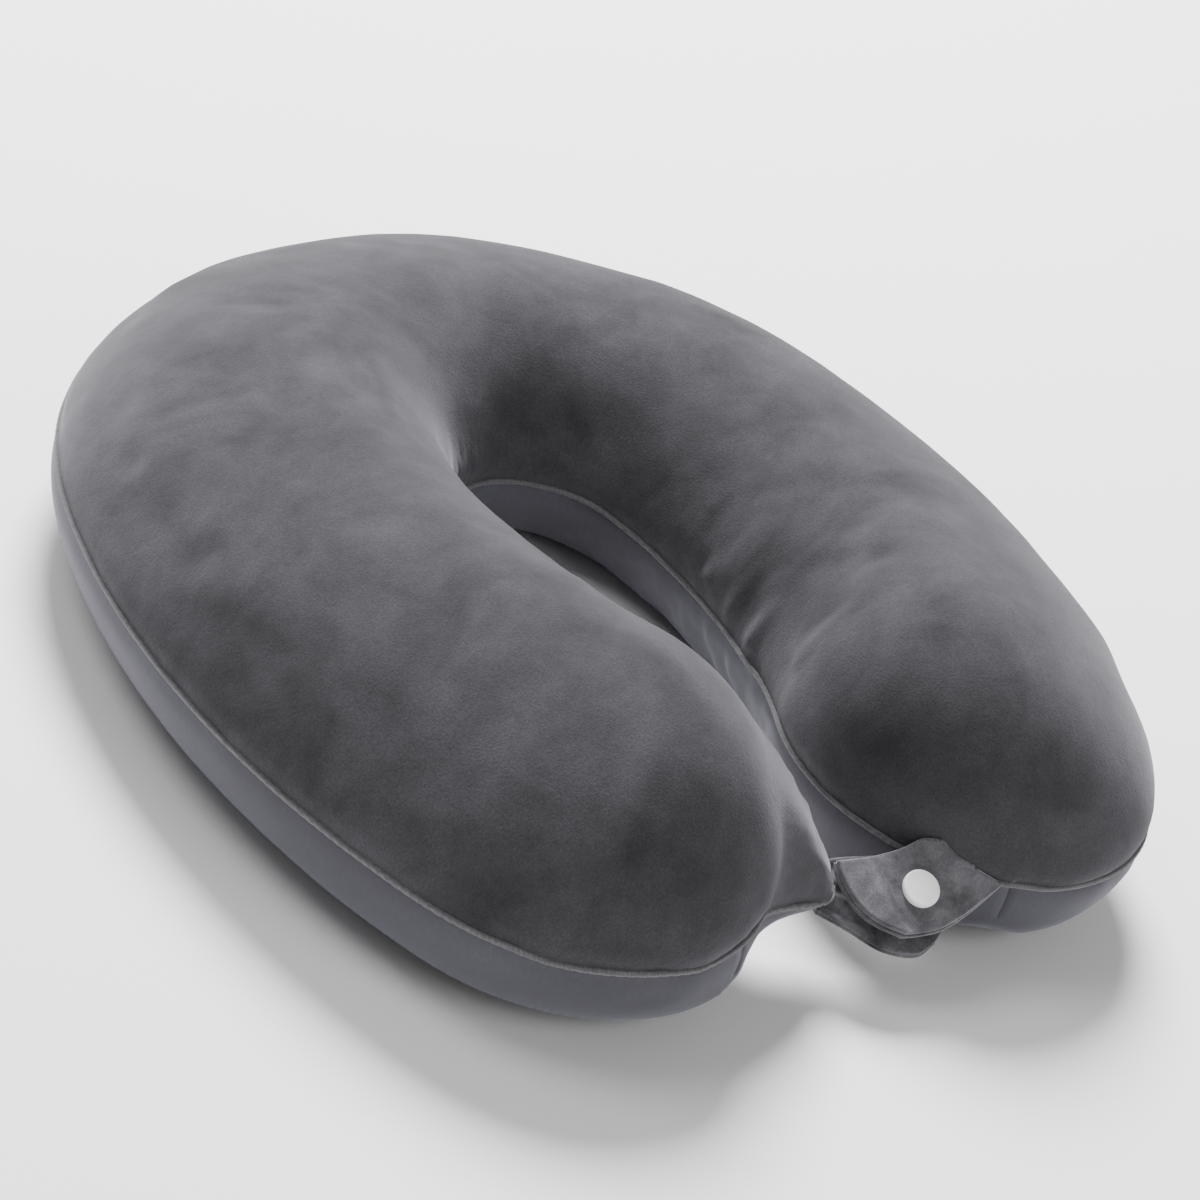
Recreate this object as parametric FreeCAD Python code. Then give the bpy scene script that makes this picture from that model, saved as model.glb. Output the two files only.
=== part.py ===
"""U shaped neck pillow: foam core, liner, zipped two-panel cover and a snap closure on two fabric tabs.

Frame: +Z up, the neck opening faces -Y, the origin is at the centre of the underside.
"""
import FreeCAD, Part
import math
import os

Vector = FreeCAD.Vector

# ---- driving dimensions, millimetres and degrees -------------------------------------------
HALF_WIDTH = 57.0            # half of the tube's width at the seam
SEAM_HEIGHT = 31.0           # height of the seam between the two panels
HEIGHT_BACK = 75.0           # height of the pillow at the nape
HEIGHT_TIP = 88.0            # height that the profile grows towards at the ends of the arms
CREST_SHIFT = 11.0           # the crest lies this much nearer the neck than the seam's middle
OUTER_ROUND = 1.65           # superellipse exponents: above the seam outside and inside, and below it
INNER_ROUND = 1.9
LOWER_ROUND = 2.0
FLAT_SHARE = 0.42            # share of the underside that rests flat
PRESSED_FLAT = 0.15          # the underside's curve would reach this far below the floor

BACK_CENTRE_Y = 15.15        # centre of the arc round the nape
BACK_RADIUS = 89.0
BACK_TURN = 76.0
SIDE_RADIUS = 210.0
SIDE_TURN = 39.0
END_LENGTH = 60.0            # straight end of each arm
TIP_LENGTH = 62.0            # over this length each arm rounds off
TIP_FLAT_ANGLE = 10.0        # the tip's round stops here, in a small flat
TIP_LOW_SHARE = 0.35         # share of the depth below the seam that is left at the very tip

VELOUR = 1.6                 # panel thicknesses and the layers inside, as depths below the outside
KNIT = 1.2
LINER_OUTER = 1.8
LINER_INNER = 2.4
FOAM_OUTER = 2.6
WELT_PROUD = 0.9
WELT_HALF_HEIGHT = 0.8
WELT_OVERLAP = 0.1           # the welt stops this far outside the panels

ZIP_HALF_ANGLE = 45.0        # the coil ends here, to each side of the nape
STOP_ANGLE = 1.1             # each stop's length
STOP_GAP = 0.1
SLOT_HALF_ANGLE = 47.0
SLOT_HALF_HEIGHT = 4.0
SLOT_PROUD, SLOT_DEPTH = 6.0, 8.0
TAPE_OUTER, TAPE_INNER = 2.2, 2.8
TAPE_HALF_HEIGHT = 12.0
TAPE_GAP = 0.5
COIL_OUTER, COIL_INNER = 0.4, 2.0
COIL_LOW, COIL_HIGH = 0.35, 2.35
GROOVE_CLEARANCE = 1.0       # round the tapes, in the liner and core
GROOVE_FLOOR_GAP = 0.3       # and below the slider
SLIDER_ANGLE = 42.0          # the closed slider stands here
SLIDER_HALF_LENGTH = 5.0
SLIDER_HALF_HEIGHT = 3.5
SLIDER_TOP = (-1.2, 0.0)     # depths of the outer plate
SLIDER_UNDER = (3.1, 3.9)    # depths of the inner plate
SLIDER_BLADE_HALF = 0.12
SLIDER_OVERLAP = 0.3         # its blade and bridge run this far into its plates
BRIDGE_LENGTH, BRIDGE_WIDTH, BRIDGE_HEIGHT, BRIDGE_WALL = 6.0, 1.6, 2.6, 0.7
PULL_PIN_RADIUS = 0.45
PULL_LENGTH, PULL_WIDTH, PULL_THICKNESS = 24.0, 6.0, 1.0
PULL_PIVOT_OUT = 2.15         # its pin's distance out of the wall
PULL_CLEARANCE = 0.3         # of its eye, to each side of the bridge
GRIP_RADIUS, GRIP_INSET = 1.2, 3.2

SNAP_CENTRE = Vector(20.7, -149.0, 27.6)   # on the right tab's middle plane
STRAP_TILT = 28.0            # the closed tabs slope down to the front
STRAP_RISE = 12.0            # and up to the right
PLY = 1.0
PLY_GAP = 0.2
LEFT_TAB_DROP = 5.45         # the left tab's middle plane lies this far below the right one's
LEFT_TAB_TURN = 18.0         # the left tab runs back towards its arm at this angle
LEFT_TAB_END = 6.0
LEFT_TAB_ROOT = -24.0        # its fold line, at the end of its gathered root
LEFT_TAB_HALF_WIDTH = 12.0
LEFT_CLIMB_START, LEFT_CLIMB_END = -22.0, -43.0      # the root climbs to the seam between these
LEFT_TAB_CLIMB = 8.0
LEFT_TAIL_END = -59.0        # the root runs back to here before the arm cuts it
RIGHT_TAB_FRONT = 10.3       # its front and back edges
RIGHT_TAB_BACK = -13.4
RIGHT_FREE_FRONT, RIGHT_FREE_BACK = -10.0, -21.0     # the free end slants between these
RIGHT_ROOT_FRONT, RIGHT_ROOT_BACK = 24.8, -3.4       # the fold line at the arm slants between these
TAB_CORNER = 3.5
CAP_RADIUS, CAP_THICKNESS = 5.35, 1.7
STUD_CAP_THICKNESS = 1.3
SOCKET_RADIUS, SOCKET_HEIGHT = 4.8, 2.1
SOCKET_BORE, SOCKET_ROOF = 2.5, 0.4
STUD_BASE_RADIUS, STUD_BASE_HEIGHT = 4.2, 0.6
KNOB_RADIUS, KNOB_HEIGHT = 1.8, 1.2
SNAP_GAP = 0.3
POST_RADIUS, POST_HOLE_RADIUS = 1.0, 1.25
SNAP_SEAT = 0.05             # between a tab and the snap pieces set against it
POST_END_GAP = 0.1           # between the cap's post and the socket below it
CAP_ROUND = 0.9
TAIL_REACH = 16.0            # the right tab's tail runs this far back before the arm cuts it
TAIL_CLEARANCE = 0.3
TAIL_WELT_GAP = 0.2
TAIL_CORNER = 1.0
ARM_CLEARANCE = 2.4
FOLD_TAB_GAP = 0.7           # from the fold line to the tab, and to its tail
FOLD_TAIL_GAP = 0.5
SPARE = 2.0                  # how far a shape runs on beyond the line that trims it
THROUGH = 40.0               # half the length of a cut that goes right through a tab

# ---- the centreline --------------------------------------------------------------------------
BACK_LENGTH = BACK_RADIUS * math.radians(BACK_TURN)
SIDE_LENGTH = SIDE_RADIUS * math.radians(SIDE_TURN)
ARM_LENGTH = BACK_LENGTH + SIDE_LENGTH + END_LENGTH
SEAM_RADIUS = BACK_RADIUS + HALF_WIDTH


def centre(s):
    """Point and outward normal of the centreline, s from the nape along the right arm."""
    a = abs(s)
    turn = math.radians(BACK_TURN)
    if a <= BACK_LENGTH:
        angle = a / BACK_RADIUS
        x, y = BACK_RADIUS * math.sin(angle), BACK_CENTRE_Y + BACK_RADIUS * math.cos(angle)
    else:
        x = BACK_RADIUS * math.sin(turn)
        y = BACK_CENTRE_Y + BACK_RADIUS * math.cos(turn)
        angle = turn + min(a - BACK_LENGTH, SIDE_LENGTH) / SIDE_RADIUS
        x += SIDE_RADIUS * (math.sin(angle) - math.sin(turn))
        y += SIDE_RADIUS * (math.cos(angle) - math.cos(turn))
        rest = max(a - BACK_LENGTH - SIDE_LENGTH, 0.0)
        x += rest * math.cos(angle)
        y -= rest * math.sin(angle)
    side = 1.0 if s >= 0 else -1.0
    return Vector(side * x, y, 0), Vector(side * math.sin(angle), math.cos(angle), 0)


def stations(depth):
    """Places along the centreline: even steps, then closer ones round each tip."""
    end = ARM_LENGTH - depth
    tip = TIP_LENGTH - depth
    straight = end - tip
    count = 11
    half = [straight * i / count for i in range(1, count + 1)]
    steps = 9
    for i in range(1, steps + 1):
        angle = math.radians(90 - (90 - TIP_FLAT_ANGLE) * i / steps)
        half.append(end - tip * (1 - math.cos(angle)))
    return [-s for s in reversed(half)] + [0.0] + half


def superellipse(count, exponent):
    """Unit quarter from (1, 0) to (0, 1)."""
    out = []
    for i in range(count + 1):
        angle = math.pi / 2 * i / count
        c, s = max(math.cos(angle), 0.0), math.sin(angle)
        out.append((c ** (2 / exponent), s ** (2 / exponent)))
    return out


def section(s, depth, kind="whole"):
    """Closed wire across the tube at s, this deep: whole, or the half above or below the seam."""
    point, normal = centre(s)
    end = ARM_LENGTH - depth - abs(s)
    k = min(max(end / (TIP_LENGTH - depth), 0.0), 1.0)
    tip = math.sqrt(max(1 - (1 - k) ** 2, 0.0))
    height = HEIGHT_BACK + (HEIGHT_TIP - HEIGHT_BACK) * (s / ARM_LENGTH) ** 2
    width = (HALF_WIDTH - depth) * tip
    shift = CREST_SHIFT * tip
    above = (height - SEAM_HEIGHT - depth) * tip
    below = (SEAM_HEIGHT + PRESSED_FLAT - depth) * (TIP_LOW_SHARE + (1 - TIP_LOW_SHARE) * tip)
    flat = FLAT_SHARE * width
    count = 7
    upper = [(shift - (width + shift) * a, above * b) for a, b in superellipse(count, OUTER_ROUND)]
    inner = [(shift + (width - shift) * a, above * b) for a, b in superellipse(count, INNER_ROUND)]
    upper += list(reversed(inner))[1:]
    lower = [(flat + (width - flat) * a, -below * b) for a, b in superellipse(count, LOWER_ROUND)]

    def edge(points):
        places = [point - normal * q + Vector(0, 0, SEAM_HEIGHT + z) for q, z in points]
        if len(places) == 2:
            return Part.LineSegment(*places).toShape()
        curve = Part.BSplineCurve()
        curve.interpolate(places)
        return curve.toShape()

    mirrored = [(-q, z) for q, z in reversed(lower)]
    crown = [edge(upper)]
    base = [edge(lower), edge([lower[-1], mirrored[0]]), edge(mirrored)]
    lid = [edge([(-width, 0.0), (width, 0.0)])]
    return Part.Wire({"whole": crown + base, "above": crown + lid, "below": lid + base}[kind])


def body(depth, kind="whole"):
    """The whole pillow, or its half above or below the seam, depth below its outside."""
    return Part.makeLoft([section(s, depth, kind) for s in stations(depth)], True, False)


def panel(thickness, kind):
    """One half of the cover: an outer and an inner skin, joined by a flat ring along the seam."""
    skins, rims = [], []
    for depth in (0.0, thickness):
        for face in body(depth, kind).Faces:
            box = face.BoundBox
            if box.ZLength < 1e-3 and abs(box.ZMin - SEAM_HEIGHT) < 1e-3:
                rims.append(face.OuterWire)
            else:
                skins.append(face)
    ring = Part.makeFace(rims, "Part::FaceMakerBullseye")
    shell = Part.makeShell(skins + ring.Faces)
    shell.sewShape()
    solid = Part.Solid(Part.Shell(shell.Faces))
    return solid if solid.Volume > 0 else solid.reversed()


def slab(low, high):
    room = 400.0
    return Part.makeBox(2 * room, 2 * room, high - low, Vector(-room, -room, low))


# ---- bands that follow the outer wall round the nape ------------------------------------------
def wall_radius(z, depth):
    """Radius about the nape's centre of the outer wall at height z, depth below the outside."""
    if z >= SEAM_HEIGHT:
        t = (z - SEAM_HEIGHT) / (HEIGHT_BACK - SEAM_HEIGHT - depth)
        share = (1 - t ** OUTER_ROUND) ** (1 / OUTER_ROUND)
        return BACK_RADIUS + (HALF_WIDTH - depth + CREST_SHIFT) * share - CREST_SHIFT
    t = (SEAM_HEIGHT - z) / (SEAM_HEIGHT + PRESSED_FLAT - depth)
    share = FLAT_SHARE + (1 - FLAT_SHARE) * (1 - t ** LOWER_ROUND) ** (1 / LOWER_ROUND)
    return BACK_RADIUS + (HALF_WIDTH - depth) * share


def band(outer, inner, low, high, start, stop, steps=6):
    """Ring piece between two depths and two heights; angles run from the nape to the right."""
    heights = [SEAM_HEIGHT + low + (high - low) * i / steps for i in range(steps + 1)]
    points = [Vector(0, BACK_CENTRE_Y + wall_radius(z, outer), z) for z in heights]
    points += [Vector(0, BACK_CENTRE_Y + wall_radius(z, inner), z) for z in reversed(heights)]
    face = Part.Face(Part.makePolygon(points + points[:1]))
    pivot, up = Vector(0, BACK_CENTRE_Y, 0), Vector(0, 0, 1)
    face.rotate(pivot, up, -start)
    return face.revolve(pivot, up, start - stop)


def along(angle):
    """Placement of a small piece built at the origin: X to the right along the zip, Y out of the wall."""
    turn = FreeCAD.Rotation(Vector(0, 0, 1), -angle)
    radius = SEAM_RADIUS
    where = Vector(0, BACK_CENTRE_Y, SEAM_HEIGHT) + turn.multVec(Vector(0, radius, 0))
    return FreeCAD.Placement(where, turn)


def block(x0, x1, y0, y1, z0, z1):
    return Part.makeBox(x1 - x0, y1 - y0, z1 - z0, Vector(x0, y0, z0))


def zip_slider():
    reach = math.degrees(SLIDER_HALF_LENGTH / SEAM_RADIUS)
    start, stop = SLIDER_ANGLE - reach, SLIDER_ANGLE + reach
    half = SLIDER_HALF_HEIGHT
    outer = band(SLIDER_TOP[0], SLIDER_TOP[1], -half, half, start, stop)
    under = band(SLIDER_UNDER[0], SLIDER_UNDER[1], -half, half, start, stop)
    blade = block(-SLIDER_HALF_LENGTH + 1, SLIDER_HALF_LENGTH - 1, -SLIDER_UNDER[0] - SLIDER_OVERLAP,
                  SLIDER_OVERLAP, -SLIDER_BLADE_HALF, SLIDER_BLADE_HALF)
    base = -SLIDER_TOP[0] - SLIDER_OVERLAP
    top = base + BRIDGE_HEIGHT
    bridge = block(-BRIDGE_LENGTH / 2, BRIDGE_LENGTH / 2, base, top, -BRIDGE_WIDTH / 2, BRIDGE_WIDTH / 2)
    window = block(-BRIDGE_LENGTH / 2 + BRIDGE_WALL, BRIDGE_LENGTH / 2 - BRIDGE_WALL, base - 1,
                   top - BRIDGE_WALL, -BRIDGE_WIDTH, BRIDGE_WIDTH)
    small = blade.fuse(bridge.cut(window))
    small.Placement = along(SLIDER_ANGLE)
    return outer.fuse(under).fuse(small).removeSplitter()




def zip_pull():
    """Eye round the slider's bridge, and a flat tab that lies along the zip."""
    inside, outside = BRIDGE_WIDTH / 2 + PULL_CLEARANCE, PULL_WIDTH / 2
    half, through = PULL_THICKNESS / 2, 2 * PULL_THICKNESS
    reach = inside + half
    pin = Part.makeCylinder(PULL_PIN_RADIUS, 2 * reach, Vector(0, 0, -reach), Vector(0, 0, 1))
    plate = block(-PULL_LENGTH, PULL_PIN_RADIUS, -half, half, -outside, outside)
    eye = block(2 * PULL_CLEARANCE - BRIDGE_LENGTH, through, -through, through, -inside, inside)
    hole = Vector(GRIP_INSET - PULL_LENGTH, -through, 0)
    grip = Part.makeCylinder(GRIP_RADIUS, 2 * through, hole, Vector(0, 1, 0))
    pull = plate.cut(eye).cut(grip).fuse(pin)
    pull.translate(Vector(0, PULL_PIVOT_OUT, 0))
    pull.Placement = along(SLIDER_ANGLE).multiply(pull.Placement)
    return pull


# ---- the closure's tabs -------------------------------------------------------------------------
tilt = FreeCAD.Rotation(Vector(1, 0, 0), STRAP_TILT)
FRONT = tilt.multVec(Vector(0, -1, 0))
rise = FreeCAD.Rotation(FRONT, STRAP_RISE)
RIGHTWARD = rise.multVec(Vector(1, 0, 0))
OUTWARD = rise.multVec(tilt.multVec(Vector(0, 0, 1)))


def strap_point(right, front, out=0.0):
    return SNAP_CENTRE + RIGHTWARD * right + FRONT * front + OUTWARD * out


def rounded_outline(corners, radius):
    """Closed wire through straight runs and tangent arcs of one radius."""
    edges, ends = [], []
    count = len(corners)
    for i in range(count):
        before, here, after = corners[i - 1], corners[i], corners[(i + 1) % count]
        a, b = (before - here).normalize(), (after - here).normalize()
        half = a.getAngle(b) / 2
        reach = radius / math.tan(half)
        middle = here + (a + b).normalize() * (radius / math.sin(half) - radius)
        edges.append((here + a * reach, middle, here + b * reach))
        ends.append(here + b * reach)
    wire = []
    for i in range(count):
        wire.append(Part.LineSegment(ends[i - 1], edges[i][0]).toShape())
        wire.append(Part.Arc(*edges[i]).toShape())
    return Part.Wire(wire)


def upright(corners, low, high, corner=TAB_CORNER):
    """Prism along the tabs' outward direction, from corners given in the strap's own plane."""
    outline = rounded_outline([strap_point(r, f, low) for r, f in corners], corner)
    return Part.Face(outline).extrude(OUTWARD * (high - low))


def disc(radius, low, high):
    return Part.makeCylinder(radius, high - low, strap_point(0, 0, low), OUTWARD)


def along_right_tab(gap):
    """A gap square to the right tab's slanting fold line, measured along the tab."""
    width = RIGHT_TAB_FRONT - RIGHT_TAB_BACK
    return gap * math.hypot(RIGHT_ROOT_FRONT - RIGHT_ROOT_BACK, width) / width


def right_strip(near, far):
    """Corners of a strip of the right tab, between two lines set off from its fold line."""
    return [(RIGHT_ROOT_BACK + far, RIGHT_TAB_BACK), (RIGHT_ROOT_BACK + near, RIGHT_TAB_BACK),
            (RIGHT_ROOT_FRONT + near, RIGHT_TAB_FRONT), (RIGHT_ROOT_FRONT + far, RIGHT_TAB_FRONT)]


def right_tab_outline():
    gap = along_right_tab(FOLD_TAB_GAP)
    return [(RIGHT_FREE_BACK, RIGHT_TAB_BACK), (RIGHT_ROOT_BACK - gap, RIGHT_TAB_BACK),
            (RIGHT_ROOT_FRONT - gap, RIGHT_TAB_FRONT), (RIGHT_FREE_FRONT, RIGHT_TAB_FRONT)]


def left_direction():
    turn = math.radians(LEFT_TAB_TURN)
    return (math.cos(turn), math.sin(turn)), (-math.sin(turn), math.cos(turn))


def left_point(length, across, out=0.0):
    (ar, af), (br, bf) = left_direction()
    return strap_point(length * ar + across * br, length * af + across * bf, out)


def climb(length):
    """How far the left tab has risen towards its seam at this place."""
    share = min(max((length - LEFT_CLIMB_START) / (LEFT_CLIMB_END - LEFT_CLIMB_START), 0.0), 1.0)
    return LEFT_TAB_CLIMB * share * share * (3 - 2 * share)


def left_ply(low, high, start, stop, corner):
    """One strip of the left tab: its side profile, bent up towards the root, swept across, then trimmed."""
    steps = 6
    bend = [LEFT_CLIMB_START + (LEFT_CLIMB_END - LEFT_CLIMB_START) * i / steps for i in range(steps + 1)]
    lengths = [LEFT_TAB_END + SPARE] + bend + [LEFT_TAIL_END - SPARE]
    half = LEFT_TAB_HALF_WIDTH
    side = half + SPARE
    points = [left_point(a, -side, high + climb(a)) for a in lengths]
    points += [left_point(a, -side, low + climb(a)) for a in reversed(lengths)]
    profile = Part.Face(Part.makePolygon(points + points[:1]))
    sheet = profile.extrude(left_point(0, side) - left_point(0, -side))
    outline = [(stop, -half), (start, -half), (start, half), (stop, half)]
    under = [left_point(a, b, -THROUGH) for a, b in outline]
    return sheet.common(Part.Face(rounded_outline(under, corner)).extrude(OUTWARD * 2 * THROUGH))


def solid_of(shape):
    """The largest solid of a cut, mended where the cut left its edges out of tolerance."""
    piece = sorted(shape.Solids, key=lambda solid: solid.Volume)[-1].copy()
    if not piece.isValid():
        piece.fix(1e-3, 1e-4, 1e-2)
    return piece


def save(name, shape):
    os.makedirs("parts", exist_ok=True)
    solids = shape.Solids
    keep = solids[0] if len(solids) == 1 else Part.makeCompound(solids)
    assert solids and keep.isValid(), name
    keep.exportStep("parts/%s.step" % name)
    box = keep.BoundBox
    print("%-18s %d  %9.1f mm3  x %.1f..%.1f y %.1f..%.1f z %.1f..%.1f" % (
        name, len(solids), keep.Volume, box.XMin, box.XMax, box.YMin, box.YMax, box.ZMin, box.ZMax))
    return keep


def dent(depth, spread=0.0):
    """Room for the zip in the liner and core, with its floor at this depth and its sides spread."""
    reach = math.degrees((2 * GROOVE_CLEARANCE + spread) / SEAM_RADIUS)
    half = TAPE_HALF_HEIGHT + GROOVE_CLEARANCE + spread
    return band(-SLOT_DEPTH, depth, -half, half, -SLOT_HALF_ANGLE - reach, SLOT_HALF_ANGLE + reach)


def cover(slot):
    save("top_panel", solid_of(panel(VELOUR, "above").cut(slot)))
    resting = panel(KNIT, "below").common(slab(0.0, HEIGHT_TIP))
    save("bottom_panel", solid_of(resting.cut(slot)))
    height = WELT_HALF_HEIGHT
    ring = body(-WELT_PROUD).cut(body(-WELT_OVERLAP))
    ring = ring.common(slab(SEAM_HEIGHT - height, SEAM_HEIGHT + height))
    save("seam_welt", solid_of(ring.cut(slot)))


def filling():
    """The liner and the core, dented where the zip's tapes and slider lie."""
    floor = SLIDER_UNDER[1] + GROOVE_FLOOR_GAP
    wall, gap = LINER_INNER - LINER_OUTER, FOAM_OUTER - LINER_OUTER
    liner = body(LINER_OUTER).cut(dent(floor))
    save("inner_liner", solid_of(liner.cut(body(LINER_INNER).cut(dent(floor + wall, wall)))))
    save("foam_core", solid_of(body(FOAM_OUTER).cut(dent(floor + gap, gap))))


def zip_parts():
    edge, end = SLOT_HALF_ANGLE, ZIP_HALF_ANGLE
    half = TAPE_HALF_HEIGHT
    save("zip_tape_upper", band(TAPE_OUTER, TAPE_INNER, TAPE_GAP, half, -edge, edge))
    save("zip_tape_lower", band(TAPE_OUTER, TAPE_INNER, -half, -TAPE_GAP, -edge, edge))
    save("zip_coil_upper", band(COIL_OUTER, COIL_INNER, COIL_LOW, COIL_HIGH, -end, end, 1))
    save("zip_coil_lower", band(COIL_OUTER, COIL_INNER, -COIL_HIGH, -COIL_LOW, -end, end, 1))
    for name, start in (("zip_stop_right", end + STOP_GAP), ("zip_stop_left", -end - STOP_GAP - STOP_ANGLE)):
        save(name, band(COIL_OUTER, COIL_INNER, -COIL_HIGH, COIL_HIGH, start, start + STOP_ANGLE, 1))
    save("zip_slider", zip_slider())
    save("zip_pull", zip_pull())


def tabs():
    """Each tab is two plies, with a tail of its own that holds it in the seam."""
    gap, drop, root = PLY_GAP / 2, -LEFT_TAB_DROP, LEFT_TAB_ROOT
    clear, close = body(-ARM_CLEARANCE), body(-TAIL_CLEARANCE)
    height = WELT_HALF_HEIGHT + TAIL_WELT_GAP
    ridge = body(-WELT_PROUD - TAIL_WELT_GAP).common(slab(SEAM_HEIGHT - height, SEAM_HEIGHT + height))
    hole = disc(POST_HOLE_RADIUS, -THROUGH, THROUGH)
    outline = right_tab_outline()
    save("right_tab_outer", solid_of(upright(outline, gap, gap + PLY).cut(clear).cut(hole)))
    save("right_tab_inner", solid_of(upright(outline, -gap - PLY, -gap).cut(clear).cut(hole)))
    strip = right_strip(along_right_tab(FOLD_TAIL_GAP), TAIL_REACH)
    tail = upright(strip, -PLY / 2, PLY / 2, TAIL_CORNER)
    save("right_tab_tail", solid_of(tail.cut(close).cut(ridge)))
    for name, low in (("left_tab_outer", drop + gap), ("left_tab_inner", drop - gap - PLY)):
        ply = left_ply(low, low + PLY, root + FOLD_TAB_GAP, LEFT_TAB_END, TAB_CORNER)
        save(name, solid_of(ply.cut(clear).cut(hole)))
    near = root - FOLD_TAIL_GAP
    tail = left_ply(drop - PLY / 2, drop + PLY / 2, LEFT_TAIL_END, near, TAIL_CORNER)
    save("left_tab_tail", solid_of(tail.cut(close).cut(ridge)))


def snap():
    """A cap and socket on the right tab, and a stud with its own cap on the left tab."""
    face = PLY_GAP / 2 + PLY + SNAP_SEAT
    top = face + CAP_THICKNESS
    cap = disc(CAP_RADIUS, face, top).fuse(disc(POST_RADIUS, POST_END_GAP - face, face + POST_END_GAP))
    rim = [edge for edge in cap.Edges if edge.BoundBox.DiagonalLength > CAP_RADIUS
           and (edge.CenterOfMass - SNAP_CENTRE).dot(OUTWARD) > (face + top) / 2]
    save("snap_cap", cap.makeFillet(CAP_ROUND, rim))
    mouth = -face - SOCKET_HEIGHT
    socket = disc(SOCKET_RADIUS, mouth, -face)
    save("snap_socket", socket.cut(disc(SOCKET_BORE, mouth - SPARE, -face - SOCKET_ROOF)))
    flange = mouth - SNAP_GAP
    base = flange - STUD_BASE_HEIGHT
    save("snap_stud", disc(STUD_BASE_RADIUS, base, flange))
    save("snap_stud_knob", disc(KNOB_RADIUS, flange, flange + KNOB_HEIGHT))
    under = -LEFT_TAB_DROP - face
    back = disc(CAP_RADIUS, under - STUD_CAP_THICKNESS, under)
    save("snap_stud_cap", back.fuse(disc(POST_RADIUS, under - POST_END_GAP, base - SNAP_SEAT)))


def main():
    edge = SLOT_HALF_ANGLE
    cover(band(-SLOT_PROUD, SLOT_DEPTH, -SLOT_HALF_HEIGHT, SLOT_HALF_HEIGHT, -edge, edge, 1))
    filling()
    zip_parts()
    tabs()
    snap()


main()
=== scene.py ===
"""Looks of the U shaped neck pillow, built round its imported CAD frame.

Lengths are in millimetres until they are multiplied by MM. Lights, floor and materials are in metres.
"""
import math

import bmesh
import bpy
import numpy as np
from mathutils import Matrix, Vector, noise
from mathutils.bvhtree import BVHTree


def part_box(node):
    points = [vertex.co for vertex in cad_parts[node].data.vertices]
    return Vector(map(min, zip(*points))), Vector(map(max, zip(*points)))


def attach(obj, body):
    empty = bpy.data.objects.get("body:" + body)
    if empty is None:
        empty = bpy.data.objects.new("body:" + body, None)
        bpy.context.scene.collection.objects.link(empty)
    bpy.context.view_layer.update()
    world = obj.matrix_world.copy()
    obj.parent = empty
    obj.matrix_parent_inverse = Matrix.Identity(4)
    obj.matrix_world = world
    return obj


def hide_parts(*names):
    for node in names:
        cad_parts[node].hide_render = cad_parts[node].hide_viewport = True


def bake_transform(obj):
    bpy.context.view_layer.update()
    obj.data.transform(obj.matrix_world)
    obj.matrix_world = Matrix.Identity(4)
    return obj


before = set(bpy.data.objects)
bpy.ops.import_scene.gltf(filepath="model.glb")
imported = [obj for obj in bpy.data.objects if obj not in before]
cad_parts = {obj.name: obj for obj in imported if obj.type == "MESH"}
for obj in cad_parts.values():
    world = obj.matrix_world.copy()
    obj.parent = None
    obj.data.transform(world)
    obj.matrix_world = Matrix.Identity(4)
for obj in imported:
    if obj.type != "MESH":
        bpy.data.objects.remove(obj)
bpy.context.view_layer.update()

MM = 0.001
SEED = 11

# ---- the pillow's driving dimensions, as in the CAD model --------------------------------------
HALF_WIDTH = 57.0
SEAM_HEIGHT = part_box("top_panel")[0][2] / MM
HEIGHT_BACK, HEIGHT_TIP = 75.0, 88.0
CREST_SHIFT = 11.0
OUTER_ROUND, INNER_ROUND, LOWER_ROUND = 1.65, 1.9, 2.0
FLAT_SHARE = 0.42
BACK_CENTRE_Y, BACK_RADIUS, BACK_TURN = 15.15, 89.0, math.radians(76.0)
SIDE_RADIUS, SIDE_TURN = 210.0, math.radians(39.0)
END_LENGTH, TIP_LENGTH, TIP_LOW_SHARE = 60.0, 62.0, 0.35
BACK_LENGTH, SIDE_LENGTH = BACK_RADIUS * BACK_TURN, SIDE_RADIUS * SIDE_TURN
ARM_LENGTH = BACK_LENGTH + SIDE_LENGTH + END_LENGTH
SEAM_RADIUS = BACK_RADIUS + HALF_WIDTH

ZIP_ANGLE = math.radians(45.0)
SLOT_ANGLE = math.radians(47.0)
SLOT_LIP = 3.1               # each panel's hem stands this far from the seam's middle along the zip
LIP_EASE = 7.0               # over this length the hem eases back to the seam

SNAP_CENTRE = Vector((20.7, -149.0, 27.6))
STRAP_TILT, STRAP_RISE = math.radians(28.0), math.radians(12.0)
LEFT_TAB_DROP, LEFT_TAB_TURN = 5.45, math.radians(18.0)


def smooth(t):
    t = np.clip(t, 0.0, 1.0)
    return t * t * (3 - 2 * t)


# ---- objects and materials -----------------------------------------------------------------------
def new_object(name, verts, faces, material, body=None):
    mesh = bpy.data.meshes.new(name)
    mesh.from_pydata([tuple(float(c) * MM for c in v) for v in verts], [], faces)
    mesh.validate()
    mesh.update()
    obj = bpy.data.objects.new(name, mesh)
    bpy.context.collection.objects.link(obj)
    mesh.materials.append(material)
    mesh.shade_smooth()
    if body:
        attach(obj, body)
    return obj


def tidy_mesh(obj, distance=1e-6):
    """Welds doubled points and makes the faces point outwards."""
    work = bmesh.new()
    work.from_mesh(obj.data)
    bmesh.ops.remove_doubles(work, verts=work.verts, dist=distance)
    bmesh.ops.recalc_face_normals(work, faces=work.faces)
    work.to_mesh(obj.data)
    work.free()
    obj.data.shade_smooth()


def apply_modifiers(obj):
    graph = bpy.context.evaluated_depsgraph_get()
    mesh = bpy.data.meshes.new_from_object(obj.evaluated_get(graph))
    obj.modifiers.clear()
    obj.data = mesh


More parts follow.
